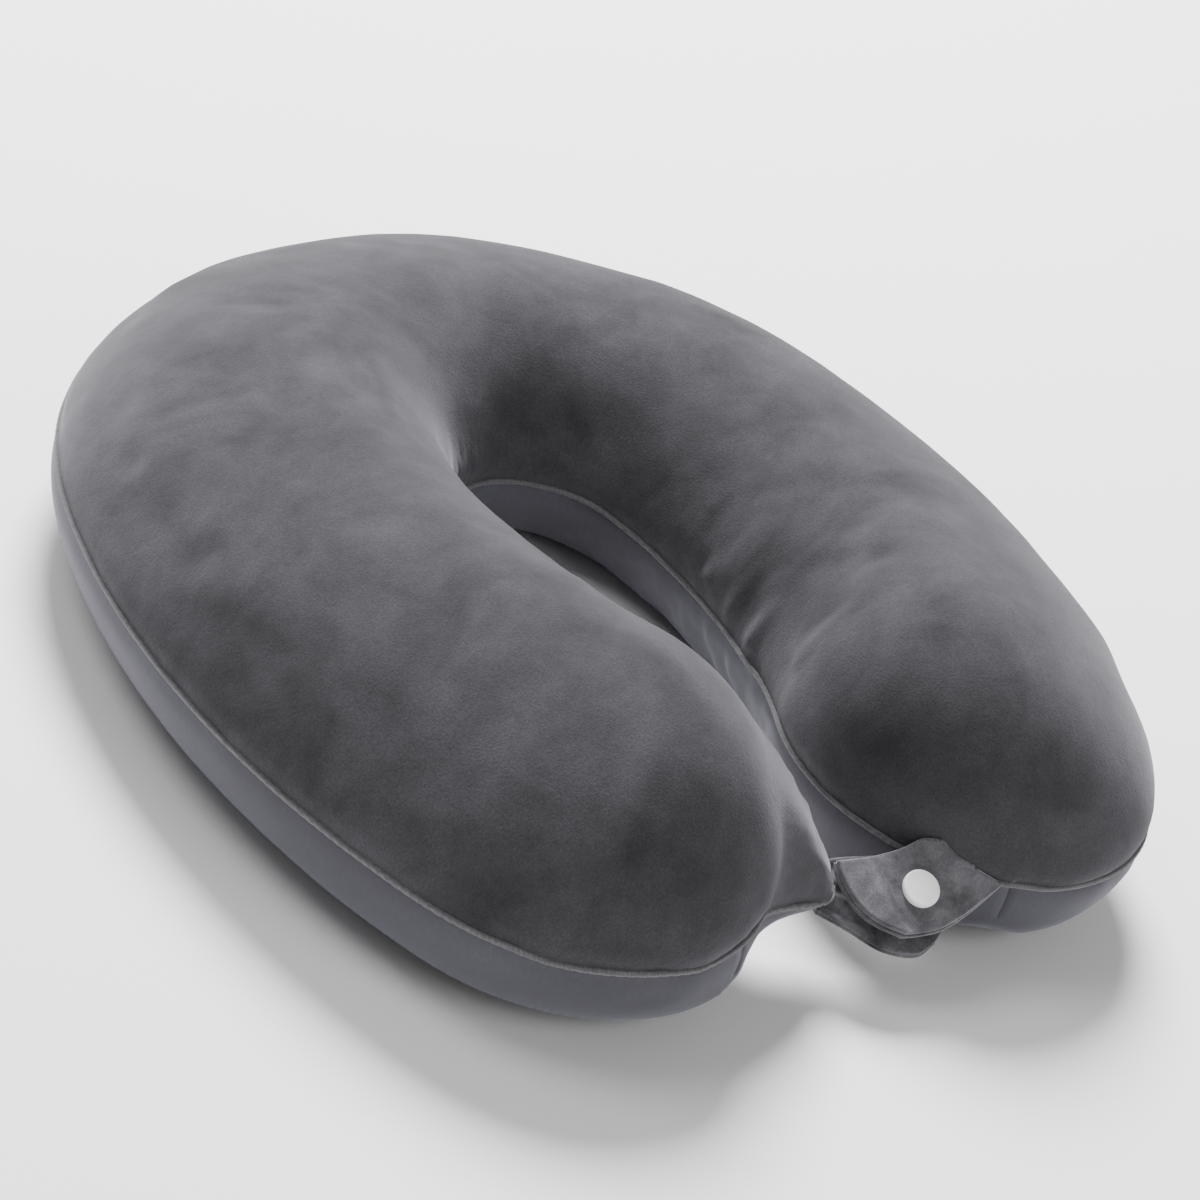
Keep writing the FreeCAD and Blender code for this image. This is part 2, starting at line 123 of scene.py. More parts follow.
class Nodes:
    """A material's node tree, with short calls for the nodes that these materials use."""

    def __init__(self, name):
        self.material = bpy.data.materials.new(name)
        self.material.use_nodes = True
        self.tree = self.material.node_tree
        self.shader = self.tree.nodes["Principled BSDF"]
        self.place = self.tree.nodes.new("ShaderNodeTexCoord").outputs["Object"]

    def set(self, **values):
        for name, value in values.items():
            socket = self.shader.inputs[name.replace("_", " ")]
            socket.default_value = value
        return self

    def link(self, source, target):
        self.tree.links.new(source, target)

    def noise(self, scale, detail=3.0, roughness=0.5, distortion=0.0, place=None):
        node = self.tree.nodes.new("ShaderNodeTexNoise")
        for name, value in (("Scale", scale), ("Detail", detail), ("Roughness", roughness),
                            ("Distortion", distortion)):
            node.inputs[name].default_value = value
        self.link(place or self.place, node.inputs["Vector"])
        return node.outputs["Fac"]

    def wave(self, scale, direction, distortion):
        node = self.tree.nodes.new("ShaderNodeTexWave")
        node.bands_direction = direction
        for name, value in (("Scale", scale), ("Distortion", distortion), ("Detail", 2.0)):
            node.inputs[name].default_value = value
        self.link(self.place, node.inputs["Vector"])
        return node.outputs["Fac"]

    def stretch(self, x, y, z):
        node = self.tree.nodes.new("ShaderNodeMapping")
        node.inputs["Scale"].default_value = (x, y, z)
        self.link(self.place, node.inputs["Vector"])
        return node.outputs["Vector"]

    def ramp(self, source, stops):
        """Colour by value: stops are (value, colour) pairs, colour being three numbers or one grey."""
        node = self.tree.nodes.new("ShaderNodeValToRGB")
        ramp = node.color_ramp
        while len(ramp.elements) < len(stops):
            ramp.elements.new(0.5)
        for element, (at, colour) in zip(ramp.elements, stops):
            element.position = at
            grey = isinstance(colour, float)
            element.color = (colour, colour, colour, 1.0) if grey else (*colour, 1.0)
        self.link(source, node.inputs["Fac"])
        return node.outputs["Color"]

    def multiply(self, a, b, factor):
        """Colour a times colour b; a factor below 1 weakens b."""
        node = self.tree.nodes.new("ShaderNodeMix")
        node.data_type = "RGBA"
        node.blend_type = "MULTIPLY"
        node.inputs[0].default_value = factor
        self.link(a, node.inputs[6])
        self.link(b, node.inputs[7])
        return node.outputs[2]

    def math(self, operation, a, b):
        node = self.tree.nodes.new("ShaderNodeMath")
        node.operation = operation
        for socket, value in zip(node.inputs, (a, b)):
            if isinstance(value, bpy.types.NodeSocket):
                self.link(value, socket)
            else:
                socket.default_value = value
        return node.outputs[0]

    def bump(self, height, distance, strength=1.0, normal=None):
        node = self.tree.nodes.new("ShaderNodeBump")
        node.inputs["Distance"].default_value = distance
        node.inputs["Strength"].default_value = strength
        self.link(height, node.inputs["Height"])
        if normal:
            self.link(normal, node.inputs["Normal"])
        return node.outputs["Normal"]

    def colour(self, source):
        self.link(source, self.shader.inputs["Base Color"])
        return self

    def rough(self, source):
        self.link(source, self.shader.inputs["Roughness"])
        return self

    def normal(self, source):
        self.link(source, self.shader.inputs["Normal"])
        return self


def velour(name, dark, light, sheen, size=26.0):
    """Short-pile velour: patches where the pile lies another way, a fine grain, and a fuzzy sheen. Where
    light stands far above dark, as on the tabs, the light patches are a painted sheen as well.
    """
    m = Nodes(name)
    m.set(Roughness=0.95, Sheen_Weight=sheen, Sheen_Roughness=0.45, Sheen_Tint=(0.80, 0.785, 0.86, 1.0),
          Specular_IOR_Level=0.12)
    patches = m.noise(size, 4.0, 0.55, 0.9)
    cloud = m.noise(size * 2.9, 3.0, 0.6, 0.4)
    both = m.math("ADD", m.math("MULTIPLY", patches, 0.65), m.math("MULTIPLY", cloud, 0.35))
    base = m.ramp(both, [(0.32, dark), (0.68, light)])
    grain = m.noise(1500.0, 2.0, 0.7)
    speck = m.ramp(grain, [(0.25, 0.55), (0.75, 1.45)])
    m.colour(m.multiply(base, speck, 0.55))
    pile = m.bump(grain, 0.00025, 0.5)
    nap = m.bump(m.noise(240.0, 2.0, 0.5, 0.2), 0.0004, 0.22, pile)
    m.normal(nap)
    return m.material


def knit(name, dark, light):
    """Smooth close knit: a fine grain drawn out upwards, hardly mottled, a little satin."""
    m = Nodes(name)
    m.set(Roughness=0.72, Sheen_Weight=0.35, Sheen_Roughness=0.4, Sheen_Tint=(0.80, 0.80, 0.92, 1.0),
          Specular_IOR_Level=0.3)
    base = m.ramp(m.noise(20.0, 2.0, 0.5, 0.3), [(0.3, dark), (0.7, light)])
    loops = m.noise(1100.0, 2.0, 0.5, place=m.stretch(1.0, 1.0, 0.45))
    shade = m.ramp(loops, [(0.3, 0.88), (0.7, 1.12)])
    m.colour(m.multiply(base, shade, 0.6))
    m.normal(m.bump(loops, 0.00012, 0.3))
    return m.material


def plain_cloth(name, dark, light):
    """Plain weave for the seam's edge, the zip's tapes and the hidden liner."""
    m = Nodes(name)
    m.set(Roughness=0.85, Sheen_Weight=0.2, Specular_IOR_Level=0.25)
    weave = m.math("MULTIPLY", m.wave(300.0, "X", 0.3), m.wave(300.0, "Z", 0.3))
    shade = m.math("ADD", m.math("MULTIPLY", weave, 0.5), m.noise(900.0, 2.0))
    m.colour(m.ramp(shade, [(0.2, dark), (1.0, light)]))
    m.normal(m.bump(weave, 0.0001, 0.5))
    return m.material


def foam(name):
    m = Nodes(name)
    m.set(Roughness=0.95, Specular_IOR_Level=0.1, Subsurface_Weight=0.05)
    cells = m.noise(700.0, 4.0, 0.7)
    m.colour(m.ramp(cells, [(0.3, (0.62, 0.58, 0.46)), (0.7, (0.78, 0.74, 0.62))]))
    m.normal(m.bump(cells, 0.0003, 0.6))
    return m.material


def moulded(name, colour, roughness):
    """Moulded plastic with a faint mottle, so that highlights break up a little."""
    m = Nodes(name)
    m.set(Specular_IOR_Level=0.5, Coat_Weight=0.15, Coat_Roughness=0.2)
    blotch = m.noise(240.0, 3.0, 0.5)
    darker = tuple(c * 0.93 for c in colour)
    m.colour(m.ramp(blotch, [(0.3, darker), (0.6, colour)]))
    m.rough(m.ramp(blotch, [(0.3, roughness * 1.2), (0.7, roughness * 0.9)]))
    m.normal(m.bump(m.noise(1400.0, 2.0), 0.00002, 0.4))
    return m.material


def lacquer(name, colour):
    """Lacquered metal, brighter where it has worn, which here is most of it."""
    m = Nodes(name)
    m.set(Metallic=0.75, Specular_IOR_Level=0.5)
    geometry = m.tree.nodes.new("ShaderNodeNewGeometry")
    worn = m.math("ADD", geometry.outputs["Pointiness"], m.math("MULTIPLY", m.noise(600.0, 3.0), 0.12))
    m.colour(m.ramp(worn, [(0.56, colour), (0.66, tuple(min(c * 5, 1.0) for c in colour))]))
    m.rough(m.ramp(m.noise(350.0, 3.0), [(0.3, 0.28), (0.7, 0.45)]))
    m.normal(m.bump(m.noise(900.0, 2.0), 0.00003, 0.5))
    return m.material


VELOUR = velour("velour", (0.026, 0.0252, 0.0282), (0.060, 0.0585, 0.065), 0.28)
# The tabs' velour is the arms' fabric with much lighter light patches: a painted sheen mottle, not a lighter
# cloth.
SHEEN_PAINTED_TAB_VELOUR = velour("tab_velour_painted_sheen", (0.026, 0.025, 0.028), (0.170, 0.166, 0.180), 0.7, 55.0)
KNIT = knit("knit", (0.050, 0.0485, 0.060), (0.066, 0.064, 0.079))
# The seam edge's cloth is lighter than the velour: partly its own tone, partly a painted highlight along the
# seam.
WELT_PAINTED_HIGHLIGHT = plain_cloth("seam_edge", (0.070, 0.069, 0.074), (0.130, 0.128, 0.136))
TAPE = plain_cloth("zip_tape", (0.022, 0.022, 0.025), (0.060, 0.060, 0.066))
LINER = plain_cloth("liner", (0.60, 0.60, 0.60), (0.80, 0.80, 0.80))
FOAM = foam("foam")
COIL = moulded("zip_coil", (0.045, 0.045, 0.050), 0.4)
METAL = lacquer("zip_metal", (0.050, 0.050, 0.054))
WHITE = moulded("snap_white", (0.97, 0.97, 0.97), 0.38)
CLEAR = moulded("snap_inner", (0.84, 0.84, 0.84), 0.3)


# ---- the pillow's surface --------------------------------------------------------------------------
def centre(s):
    """Centreline points and outward normals at signed lengths s from the nape."""
    a = np.abs(s)
    back = np.minimum(a, BACK_LENGTH) / BACK_RADIUS
    side = np.clip(a - BACK_LENGTH, 0, SIDE_LENGTH) / SIDE_RADIUS
    rest = np.maximum(a - BACK_LENGTH - SIDE_LENGTH, 0)
    angle = back + side
    x = BACK_RADIUS * np.sin(back) + SIDE_RADIUS * (np.sin(angle) - np.sin(back)) + rest * np.cos(angle)
    y = BACK_CENTRE_Y + BACK_RADIUS * np.cos(back)
    y = y + SIDE_RADIUS * (np.cos(angle) - np.cos(back)) - rest * np.sin(angle)
    sign = np.where(s < 0, -1.0, 1.0)
    return np.stack([sign * x, y], -1), np.stack([sign * np.sin(angle), np.cos(angle)], -1)


def rows_along(count, tip_rows):
    """Signed lengths of the mesh's rows: even steps, and steps of equal angle round each tip."""
    straight = ARM_LENGTH - TIP_LENGTH
    middle = np.linspace(-straight, straight, count)
    angle = np.linspace(0, math.pi / 2, tip_rows + 1)[1:]
    tip = straight + TIP_LENGTH * np.sin(angle)
    return np.concatenate([-tip[::-1], middle, tip])


def quarter(exponent, count=40):
    angle = np.linspace(0, math.pi / 2, count)
    return np.cos(angle).clip(0) ** (2 / exponent), np.sin(angle) ** (2 / exponent)


def outline(s, upper):
    """One row's outline from the outer seam to the inner seam: distances outwards, and heights."""
    k = min(max((ARM_LENGTH - abs(s)) / TIP_LENGTH, 0.0), 1.0)
    tip = math.sqrt(max(1 - (1 - k) ** 2, 0.0))
    width, shift = HALF_WIDTH * tip, CREST_SHIFT * tip
    if upper:
        height = (HEIGHT_BACK + (HEIGHT_TIP - HEIGHT_BACK) * (s / ARM_LENGTH) ** 2 - SEAM_HEIGHT) * tip
        a, b = quarter(OUTER_ROUND)
        c, d = quarter(INNER_ROUND)
        out = np.concatenate([(width + shift) * a - shift, (-shift - (width - shift) * c)[::-1][1:]])
        return out, SEAM_HEIGHT + height * np.concatenate([b, d[::-1][1:]])
    depth = SEAM_HEIGHT * (TIP_LOW_SHARE + (1 - TIP_LOW_SHARE) * tip)
    a, b = quarter(LOWER_ROUND)
    out = width * (FLAT_SHARE + (1 - FLAT_SHARE) * a)
    return np.concatenate([out, -out[::-1]]), SEAM_HEIGHT - depth * np.concatenate([b, b[::-1]])


def clustered(count):
    """Parameters from 0 to 1, closer together at both ends."""
    t = np.linspace(0, 1, count)
    return t - 0.6 * np.sin(2 * math.pi * t) / (2 * math.pi)


def lip(s):
    """How far a panel's edge stands back from the seam along the zip."""
    distance = SLOT_ANGLE * BACK_RADIUS - np.abs(s)
    return SLOT_LIP * smooth(distance / (LIP_EASE * BACK_RADIUS / SEAM_RADIUS))


def panel_grid(rows, t, upper, tuck=0.0, zipped=True):
    """Points [row, column, xyz] of one panel, and each point's distance along the row from both edges."""
    points, from_outer, from_inner = [], [], []
    middle, outward = centre(rows)
    for s, c, n in zip(rows, middle, outward):
        out, z = outline(s, upper)
        steps = np.hypot(np.diff(out), np.diff(z))
        length = np.concatenate([[0], np.cumsum(steps)])
        total = max(length[-1], 1e-9)
        edge = min(tuck, total * 0.2)
        start = edge + (float(lip(s)) if zipped else 0.0)
        at = start + t * (total - edge - start)
        o, h = np.interp(at, length, out), np.interp(at, length, z)
        points.append(np.stack([c[0] + n[0] * o, c[1] + n[1] * o, h], -1))
        from_outer.append(at - start)
        from_inner.append(total - edge - at)
    return np.array(points), np.array(from_outer), np.array(from_inner)


def grid_normals(points, upper):
    """Unit normals of a grid, pointing out of the pillow."""
    du, dv = np.gradient(points, axis=0), np.gradient(points, axis=1)
    normal = np.cross(du, dv)
    length = np.linalg.norm(normal, axis=-1, keepdims=True)
    normal = normal / np.maximum(length, 1e-9)
    middle = normal[len(normal) // 2, normal.shape[1] // 2]
    if (middle[2] > 0) != upper:
        normal = -normal
    for row in (0, -1):
        inner = 1 if row == 0 else -2
        normal[row] = normal[inner]
    return normal


def sampled_noise(points, size, seed):
    """Smooth noise from -1 to 1 at each point; size is the feature size in millimetres."""
    shift = Vector((seed * 17.3, seed * 5.1, seed * 9.7))
    flat = points.reshape(-1, 3)
    out = np.empty(len(flat))
    for i, p in enumerate(flat):
        out[i] = noise.fractal(Vector(p) / size + shift, 1.0, 2.0, 2)
    return out.reshape(points.shape[:-1])


# ---- how the closed snap pulls the left arm's cover out into a gathered root -----------------------
PULL = np.array([24.5, -2.0, -6.5])        # how far the cover is drawn at the seam
PULL_FOOT = np.array([-25.3, -135.2])      # middle of the drawn part, at the seam and at its top
PULL_HEAD = np.array([-31.0, -124.0])
PULL_TOP = 68.0                            # height where the pull begins
PULL_BELOW = 6.5                           # below the seam it dies out over this
PULL_REACH, PULL_TIP_REACH = 17.0, 11.5    # how far round it the cover follows, shorter towards the tip
TIPWARD = np.array([-0.8, -0.6])


def pulled(points):
    """How far each point is drawn towards the snap, from 0 to 1."""
    rise = (points[..., 2] - SEAM_HEIGHT) / (PULL_TOP - SEAM_HEIGHT)
    share = np.clip(rise, 0, 1)[..., None]
    middle = PULL_FOOT * (1 - share) + PULL_HEAD * share
    offset = points[..., :2] - middle
    ahead = offset @ TIPWARD
    aside = (offset ** 2).sum(-1) - ahead ** 2
    ahead = ahead / np.where(ahead > 0, PULL_TIP_REACH, PULL_REACH)
    away = np.sqrt(ahead ** 2 + np.maximum(aside, 0) / PULL_REACH ** 2)
    above = np.clip(1 - rise, 0, 1) ** 1.15
    below = np.exp(-(np.minimum(rise, 0) * (PULL_TOP - SEAM_HEIGHT) / PULL_BELOW) ** 2)
    return np.exp(-away ** 4) * np.where(rise > 0, above, below)


def gathers(points, strength):
    """Folds that run along the pull, for the drawn part of the cover only."""
    out = np.zeros(points.shape[:-1])
    for index in np.argwhere(strength > 0.02):
        x, y, z = points[tuple(index)]
        fold = noise.noise(Vector((x / 40, y / 3.6 + x / 9, z / 28 + SEED)))
        fold += 0.5 * noise.noise(Vector((x / 40, y / 1.9 + x / 5, z / 22 + SEED)))
        out[tuple(index)] = 1.5 * fold * strength[tuple(index)] ** 0.7
    return out


# ---- cloth simulation: how the cover settles round the foam ----------------------------------------
SIM_ROWS, SIM_TIP_ROWS, SIM_TOP, SIM_LOW = 79, 9, 33, 23
SIM_FRAMES = 20
SIM_CAP_OUT, SIM_CAP_IN, SIM_CAP_ALONG = 1.4, 0.3, 0.8     # the liner under the cover limits its moves
SIM_SLACK = 1.2              # the cover starts this much inside its final size, and swells
SIM_HELD_BELOW = 1.0         # points lower than this lie on the floor and stay
SIM_SWELL_SHARE = 0.5        # share of the simulated swell that is kept


def settle_cover():
    """Simulates the closed cover under pressure with a drawn-in seam; returns each panel's displacement."""
    rows = rows_along(SIM_ROWS, SIM_TIP_ROWS)
    rows[0], rows[-1] = rows[0] + 0.15, rows[-1] - 0.15
    top_t, low_t = clustered(SIM_TOP), clustered(SIM_LOW)
    top = panel_grid(rows, top_t, True, zipped=False)[0]
    low = panel_grid(rows, low_t, False, zipped=False)[0]
    ring = np.concatenate([top, low[:, ::-1][:, 1:-1]], axis=1)
    count, around = ring.shape[:2]
    verts = ring.reshape(-1, 3)
    faces = [(i * around + j, i * around + (j + 1) % around, (i + 1) * around + (j + 1) % around,
              (i + 1) * around + j) for i in range(count - 1) for j in range(around)]
    faces += [tuple(range(around)), tuple(reversed(range((count - 1) * around, count * around)))]
    obj = new_object("settling", verts, faces, VELOUR)
    work = bmesh.new()
    work.from_mesh(obj.data)
    bmesh.ops.recalc_face_normals(work, faces=work.faces)
    work.to_mesh(obj.data)
    work.free()
    normals = np.array([v.normal for v in obj.data.vertices])
    start = verts - normals * SIM_SLACK
    for vertex, place in zip(obj.data.vertices, start):
        vertex.co = Vector(place) * MM
    pinned = obj.vertex_groups.new(name="held")
    drawn = obj.vertex_groups.new(name="drawn")
    for i in range(count):
        for j in range(around):
            index = i * around + j
            if ring[i, j, 2] < SIM_HELD_BELOW:
                pinned.add([index], 1.0, "REPLACE")
            if j in (0, SIM_TOP - 1):
                drawn.add([index], 1.0, "REPLACE")
    cloth = obj.modifiers.new("settle", "CLOTH")
    cloth.settings.quality = 6
    cloth.settings.mass = 0.15
    cloth.settings.tension_stiffness = 20
    cloth.settings.compression_stiffness = 20
    cloth.settings.shear_stiffness = 8
    cloth.settings.bending_stiffness = 0.3
    cloth.settings.air_damping = 2
    cloth.settings.use_pressure = True
    cloth.settings.uniform_pressure_force = 4.0
    cloth.settings.vertex_group_mass = "held"
    cloth.settings.vertex_group_shrink = "drawn"
    cloth.settings.shrink_min = -0.01
    cloth.settings.shrink_max = 0.07
    cloth.settings.effector_weights.gravity = 0.0
    cloth.collision_settings.use_collision = False
    cloth.point_cache.frame_start, cloth.point_cache.frame_end = 1, SIM_FRAMES
    scene = bpy.context.scene
    for step in range(1, SIM_FRAMES + 1):
        scene.frame_set(step)
    graph = bpy.context.evaluated_depsgraph_get()
    settled = obj.evaluated_get(graph).to_mesh()
    after = np.array([v.co for v in settled.vertices]) / MM
    moved = after - verts
    along = (moved * normals).sum(-1)
    across = moved - normals * along[:, None]
    slide = np.linalg.norm(across, axis=-1, keepdims=True)
    across *= np.minimum(1.0, SIM_CAP_ALONG / np.maximum(slide, 1e-9))
    swell = np.clip((along - np.median(along)) * SIM_SWELL_SHARE, -SIM_CAP_IN, SIM_CAP_OUT)
    moved = across + normals * swell[:, None]
    print("cover settled: median swell %.2f mm, largest slide %.2f mm" % (np.median(along), slide.max()))
    bpy.data.objects.remove(obj)
    scene.frame_set(1)
    moved = moved.reshape(count, around, 3)
    top_move = moved[:, :SIM_TOP]
    low_move = np.concatenate([moved[:, :1], moved[:, SIM_TOP - 1:][:, ::-1]], axis=1)
    return rows, (top_t, top_move), (low_t, low_move)


def spread(rows, t, coarse_rows, coarse_t, moved):
    """A coarse displacement field read at the fine grid's rows and columns."""
    wide = np.empty((len(coarse_rows), len(t), 3))
    for i in range(len(coarse_rows)):
        for k in range(3):
            wide[i, :, k] = np.interp(t, coarse_t, moved[i, :, k])
    out = np.empty((len(rows), len(t), 3))
    for j in range(len(t)):
        for k in range(3):
            out[:, j, k] = np.interp(rows, coarse_rows, wide[:, j, k])
    return out


# ---- the cover's panels ----------------------------------------------------------------------------
ROWS, TIP_ROWS, TOP_COLUMNS, LOW_COLUMNS = 281, 26, 75, 47
TUCK = 1.0                   # the panels round over into the seam by this radius
TUCK_STEPS = 4
PANEL_THICKNESS = 1.0
PUCKER_REACH = 10.0
BROAD_SIZE, FINE_SIZE = 62.0, 24.0         # sizes of the cover's soft swells
VALLEY_DEPTH, VALLEY_REACH = 0.9, 3.2      # the panels dip towards the seam


def pucker(rows, distance, side, strength):
    """Small gathers that run in from the seam, uneven along it and stronger towards the tips."""
    tipness = smooth((np.abs(rows) - (ARM_LENGTH - 95)) / 90)
    out = np.zeros_like(distance)
    for i, s in enumerate(rows):
        wave = noise.noise(Vector((s / 7.5, side * 31.0, SEED)))
        wave += 0.6 * noise.noise(Vector((s / 3.4, side * 47.0, SEED)))
        patch = 0.5 + 0.9 * abs(noise.noise(Vector((s / 42.0, side * 13.0, SEED))))
        out[i] = strength * (0.5 + 0.9 * tipness[i]) * patch * wave * np.exp(-distance[i] / PUCKER_REACH)
    return out


def panel(name, upper, columns, settled, material, nodes):
    rows, t = rows_along(ROWS, TIP_ROWS), clustered(columns)
    points, outer, inner = panel_grid(rows, t, upper, TUCK)
    normal = grid_normals(points, upper)
    near = np.minimum(outer, inner)
    seed, broad, fine, strength = (3, 0.9, 0.32, 0.55) if upper else (5, 0.3, 0.12, 0.35)
    swell = sampled_noise(points, BROAD_SIZE, seed) * broad
    swell += sampled_noise(points, FINE_SIZE, 4) * fine
    swell *= smooth(near / 14.0)
    swell += pucker(rows, outer, 1.0 if upper else 1.4, strength)
    swell += pucker(rows, inner, 2.0 if upper else 2.4, strength)
    swell -= VALLEY_DEPTH * np.exp(-(near / VALLEY_REACH) ** 2)
    if not upper:
        swell *= smooth((points[..., 2] - 0.3) / 6.0)
    points = points + normal * swell[..., None]
    if settled is not None:
        coarse_rows, (coarse_t, moved) = settled
        points = points + spread(rows, t, coarse_rows, coarse_t, moved)
    drawn = pulled(points)
    points = points + normal * gathers(points, drawn)[..., None] + PULL * drawn[..., None]
    points[..., 2] = np.maximum(points[..., 2], 0.0)

    # both edges round over and run into the seam
    columns_out = [points]
    for edge, neighbour, before in ((0, 1, True), (-1, -2, False)):
        lead = points[:, edge] - points[:, neighbour]
        lead /= np.maximum(np.linalg.norm(lead, axis=-1, keepdims=True), 1e-9)
        face = normal[:, edge]
        face = face - lead * (face * lead).sum(-1, keepdims=True)
        face /= np.maximum(np.linalg.norm(face, axis=-1, keepdims=True), 1e-9)
        turned = []
        for k in range(1, TUCK_STEPS + 1):
            angle = math.pi / 2 * k / TUCK_STEPS
            turned.append(points[:, edge] + lead * TUCK * 0.95 * math.sin(angle)
                          - face * TUCK * (1 - math.cos(angle)))
        turned.append(turned[-1] - face * 1.2)
        block = np.stack(turned, axis=1)
        if before:
            columns_out.insert(0, block[:, ::-1])
        else:
            columns_out.append(block)
    points = np.concatenate(columns_out, axis=1)

    count, across = points.shape[:2]
    faces = [(i * across + j, i * across + j + 1, (i + 1) * across + j + 1, (i + 1) * across + j)
             for i in range(count - 1) for j in range(across - 1)]
    obj = new_object(name, points.reshape(-1, 3), faces, material)
    tidy_mesh(obj, 2e-5)
    flip = obj.data.polygons[len(obj.data.polygons) // 2].normal[2] > 0
    if flip != upper:
        obj.data.flip_normals()
    shell = obj.modifiers.new("thickness", "SOLIDIFY")
    shell.thickness = PANEL_THICKNESS * MM
    shell.offset = -1.0
    apply_modifiers(obj)
    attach(obj, "pillow")
    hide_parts(*nodes)
    return obj


# ---- the raised edge along the seam --------------------------------------------------------------
WELT_RADIUS = 0.95
WELT_PITCH = 3.2             # the stitches pinch the edge at this pitch
WELT_PINCH = 0.16
WELT_SIDES = 8


def seam_line(cover_moves):
    """Seam points round the U, from one end of the zip to the other."""
    rows = rows_along(1601, 160)
    middle, outward = centre(rows)
    k = np.clip((ARM_LENGTH - np.abs(rows)) / TIP_LENGTH, 0, 1)
    tip = np.sqrt(np.clip(1 - (1 - k) ** 2, 0, 1))
    offset = HALF_WIDTH * tip
    heights = np.full(len(rows), SEAM_HEIGHT)
    outer = np.column_stack([middle + outward * offset[:, None], heights])
    inner = np.column_stack([middle - outward * offset[:, None], heights])
    if cover_moves is not None:
        coarse_rows, (coarse_t, moved) = cover_moves
        outer = outer + spread(rows, np.array([0.0]), coarse_rows, coarse_t, moved)[:, 0]
        inner = inner + spread(rows, np.array([1.0]), coarse_rows, coarse_t, moved)[:, 0]
    right_start = np.searchsorted(rows, SLOT_ANGLE * BACK_RADIUS)
    left_end = np.searchsorted(rows, -SLOT_ANGLE * BACK_RADIUS)
    line = np.concatenate([outer[right_start:], inner[::-1][1:-1], outer[:left_end]])
    return line + PULL * pulled(line)[:, None]


def evenly(path, step):
    lengths = np.concatenate([[0], np.cumsum(np.linalg.norm(np.diff(path, axis=0), axis=1))])
    count = max(int(lengths[-1] / step), 2)
    at = np.linspace(0, lengths[-1], count)
    return np.stack([np.interp(at, lengths, path[:, k]) for k in range(3)], -1), at


def tube(path, sides, radius, up=(0, 0, 1)):
    """Verts and faces of a closed-ended tube along a path; radius is a number or one value per point."""
    tangent = np.gradient(path, axis=0)
    tangent /= np.maximum(np.linalg.norm(tangent, axis=1, keepdims=True), 1e-9)
    side = np.cross(tangent, np.array(up))
    side /= np.maximum(np.linalg.norm(side, axis=1, keepdims=True), 1e-9)
    top = np.cross(side, tangent)
    radius = np.broadcast_to(radius, (len(path),))
    verts, faces = [], []
    for i, p in enumerate(path):
        for k in range(sides):
            angle = 2 * math.pi * k / sides
            verts.append(p + radius[i] * (side[i] * math.cos(angle) + top[i] * math.sin(angle)))
    for i in range(len(path) - 1):
        for k in range(sides):
            a, b = i * sides + k, i * sides + (k + 1) % sides
            faces.append((a, b, b + sides, a + sides))
    faces.append(tuple(reversed(range(sides))))
    faces.append(tuple(range((len(path) - 1) * sides, len(path) * sides)))
    return verts, faces


def build_welt(moves):
    path, at = evenly(seam_line(moves), 0.8)
    pinch = 1 - WELT_PINCH * np.clip(np.cos(2 * math.pi * at / WELT_PITCH), 0, 1) ** 3
    wobble = np.array([noise.noise(Vector((s / 18.0, 3.0, SEED))) for s in at])
    path[:, 2] += wobble * 0.35
    verts, faces = tube(path, WELT_SIDES, WELT_RADIUS * pinch * (1 + 0.12 * wobble))
    obj = new_object("seam_edge", verts, faces, WELT_PAINTED_HIGHLIGHT, "pillow")
    tidy_mesh(obj)
    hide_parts("seam_welt")
    return obj


# ---- the zip -------------------------------------------------------------------------------------
COIL_PITCH, COIL_WIRE = 1.35, 0.27
COIL_RADIAL, COIL_HEIGHT = 0.55, 0.85      # half sizes of each coil's loops
COIL_DEPTH, COIL_OFFSET = 1.2, 1.25        # its middle, below the outside and off the seam


def round_nape(angle, depth, z):
    radius = SEAM_RADIUS - depth
    return np.array([radius * math.sin(angle), BACK_CENTRE_Y + radius * math.cos(angle), SEAM_HEIGHT + z])


def coil(name, sign, node):
    turns = int(2 * ZIP_ANGLE * SEAM_RADIUS / COIL_PITCH)
    steps = 10
    path = []
    for i in range(turns * steps + 1):
        turn = 2 * math.pi * i / steps + (0 if sign > 0 else math.pi)
        angle = -ZIP_ANGLE + 2 * ZIP_ANGLE * i / (turns * steps)
        depth = COIL_DEPTH + COIL_RADIAL * math.cos(turn)
        path.append(round_nape(angle, depth, sign * (COIL_OFFSET + COIL_HEIGHT * math.sin(turn))))
    verts, faces = tube(np.array(path), 5, COIL_WIRE, Vector((0.1, 0.2, 1.0)))
    obj = new_object(name, verts, faces, COIL, "pillow")
    tidy_mesh(obj)
    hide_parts(node)
    return obj


def refined(node, body, material, bevel):
    """A CAD piece with its edges rounded, standing for its node."""
    obj = bpy.data.objects.new(node + "_finished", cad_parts[node].data.copy())
    bpy.context.collection.objects.link(obj)
    work = bmesh.new()
    work.from_mesh(obj.data)
    bmesh.ops.remove_doubles(work, verts=work.verts, dist=1e-6)
    bmesh.ops.dissolve_limit(work, angle_limit=math.radians(2), verts=work.verts, edges=work.edges)
    work.to_mesh(obj.data)
    work.free()
    obj.data.materials.clear()
    obj.data.materials.append(material)
    rounding = obj.modifiers.new("round", "BEVEL")
    rounding.width = bevel * MM
    rounding.segments = 3
    rounding.limit_method = "ANGLE"
    rounding.angle_limit = math.radians(35)
    apply_modifiers(obj)
    obj.data.shade_smooth()
    weighted = obj.modifiers.new("normals", "WEIGHTED_NORMAL")
    weighted.keep_sharp = False
    apply_modifiers(obj)
    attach(obj, body)
    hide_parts(node)
    return obj


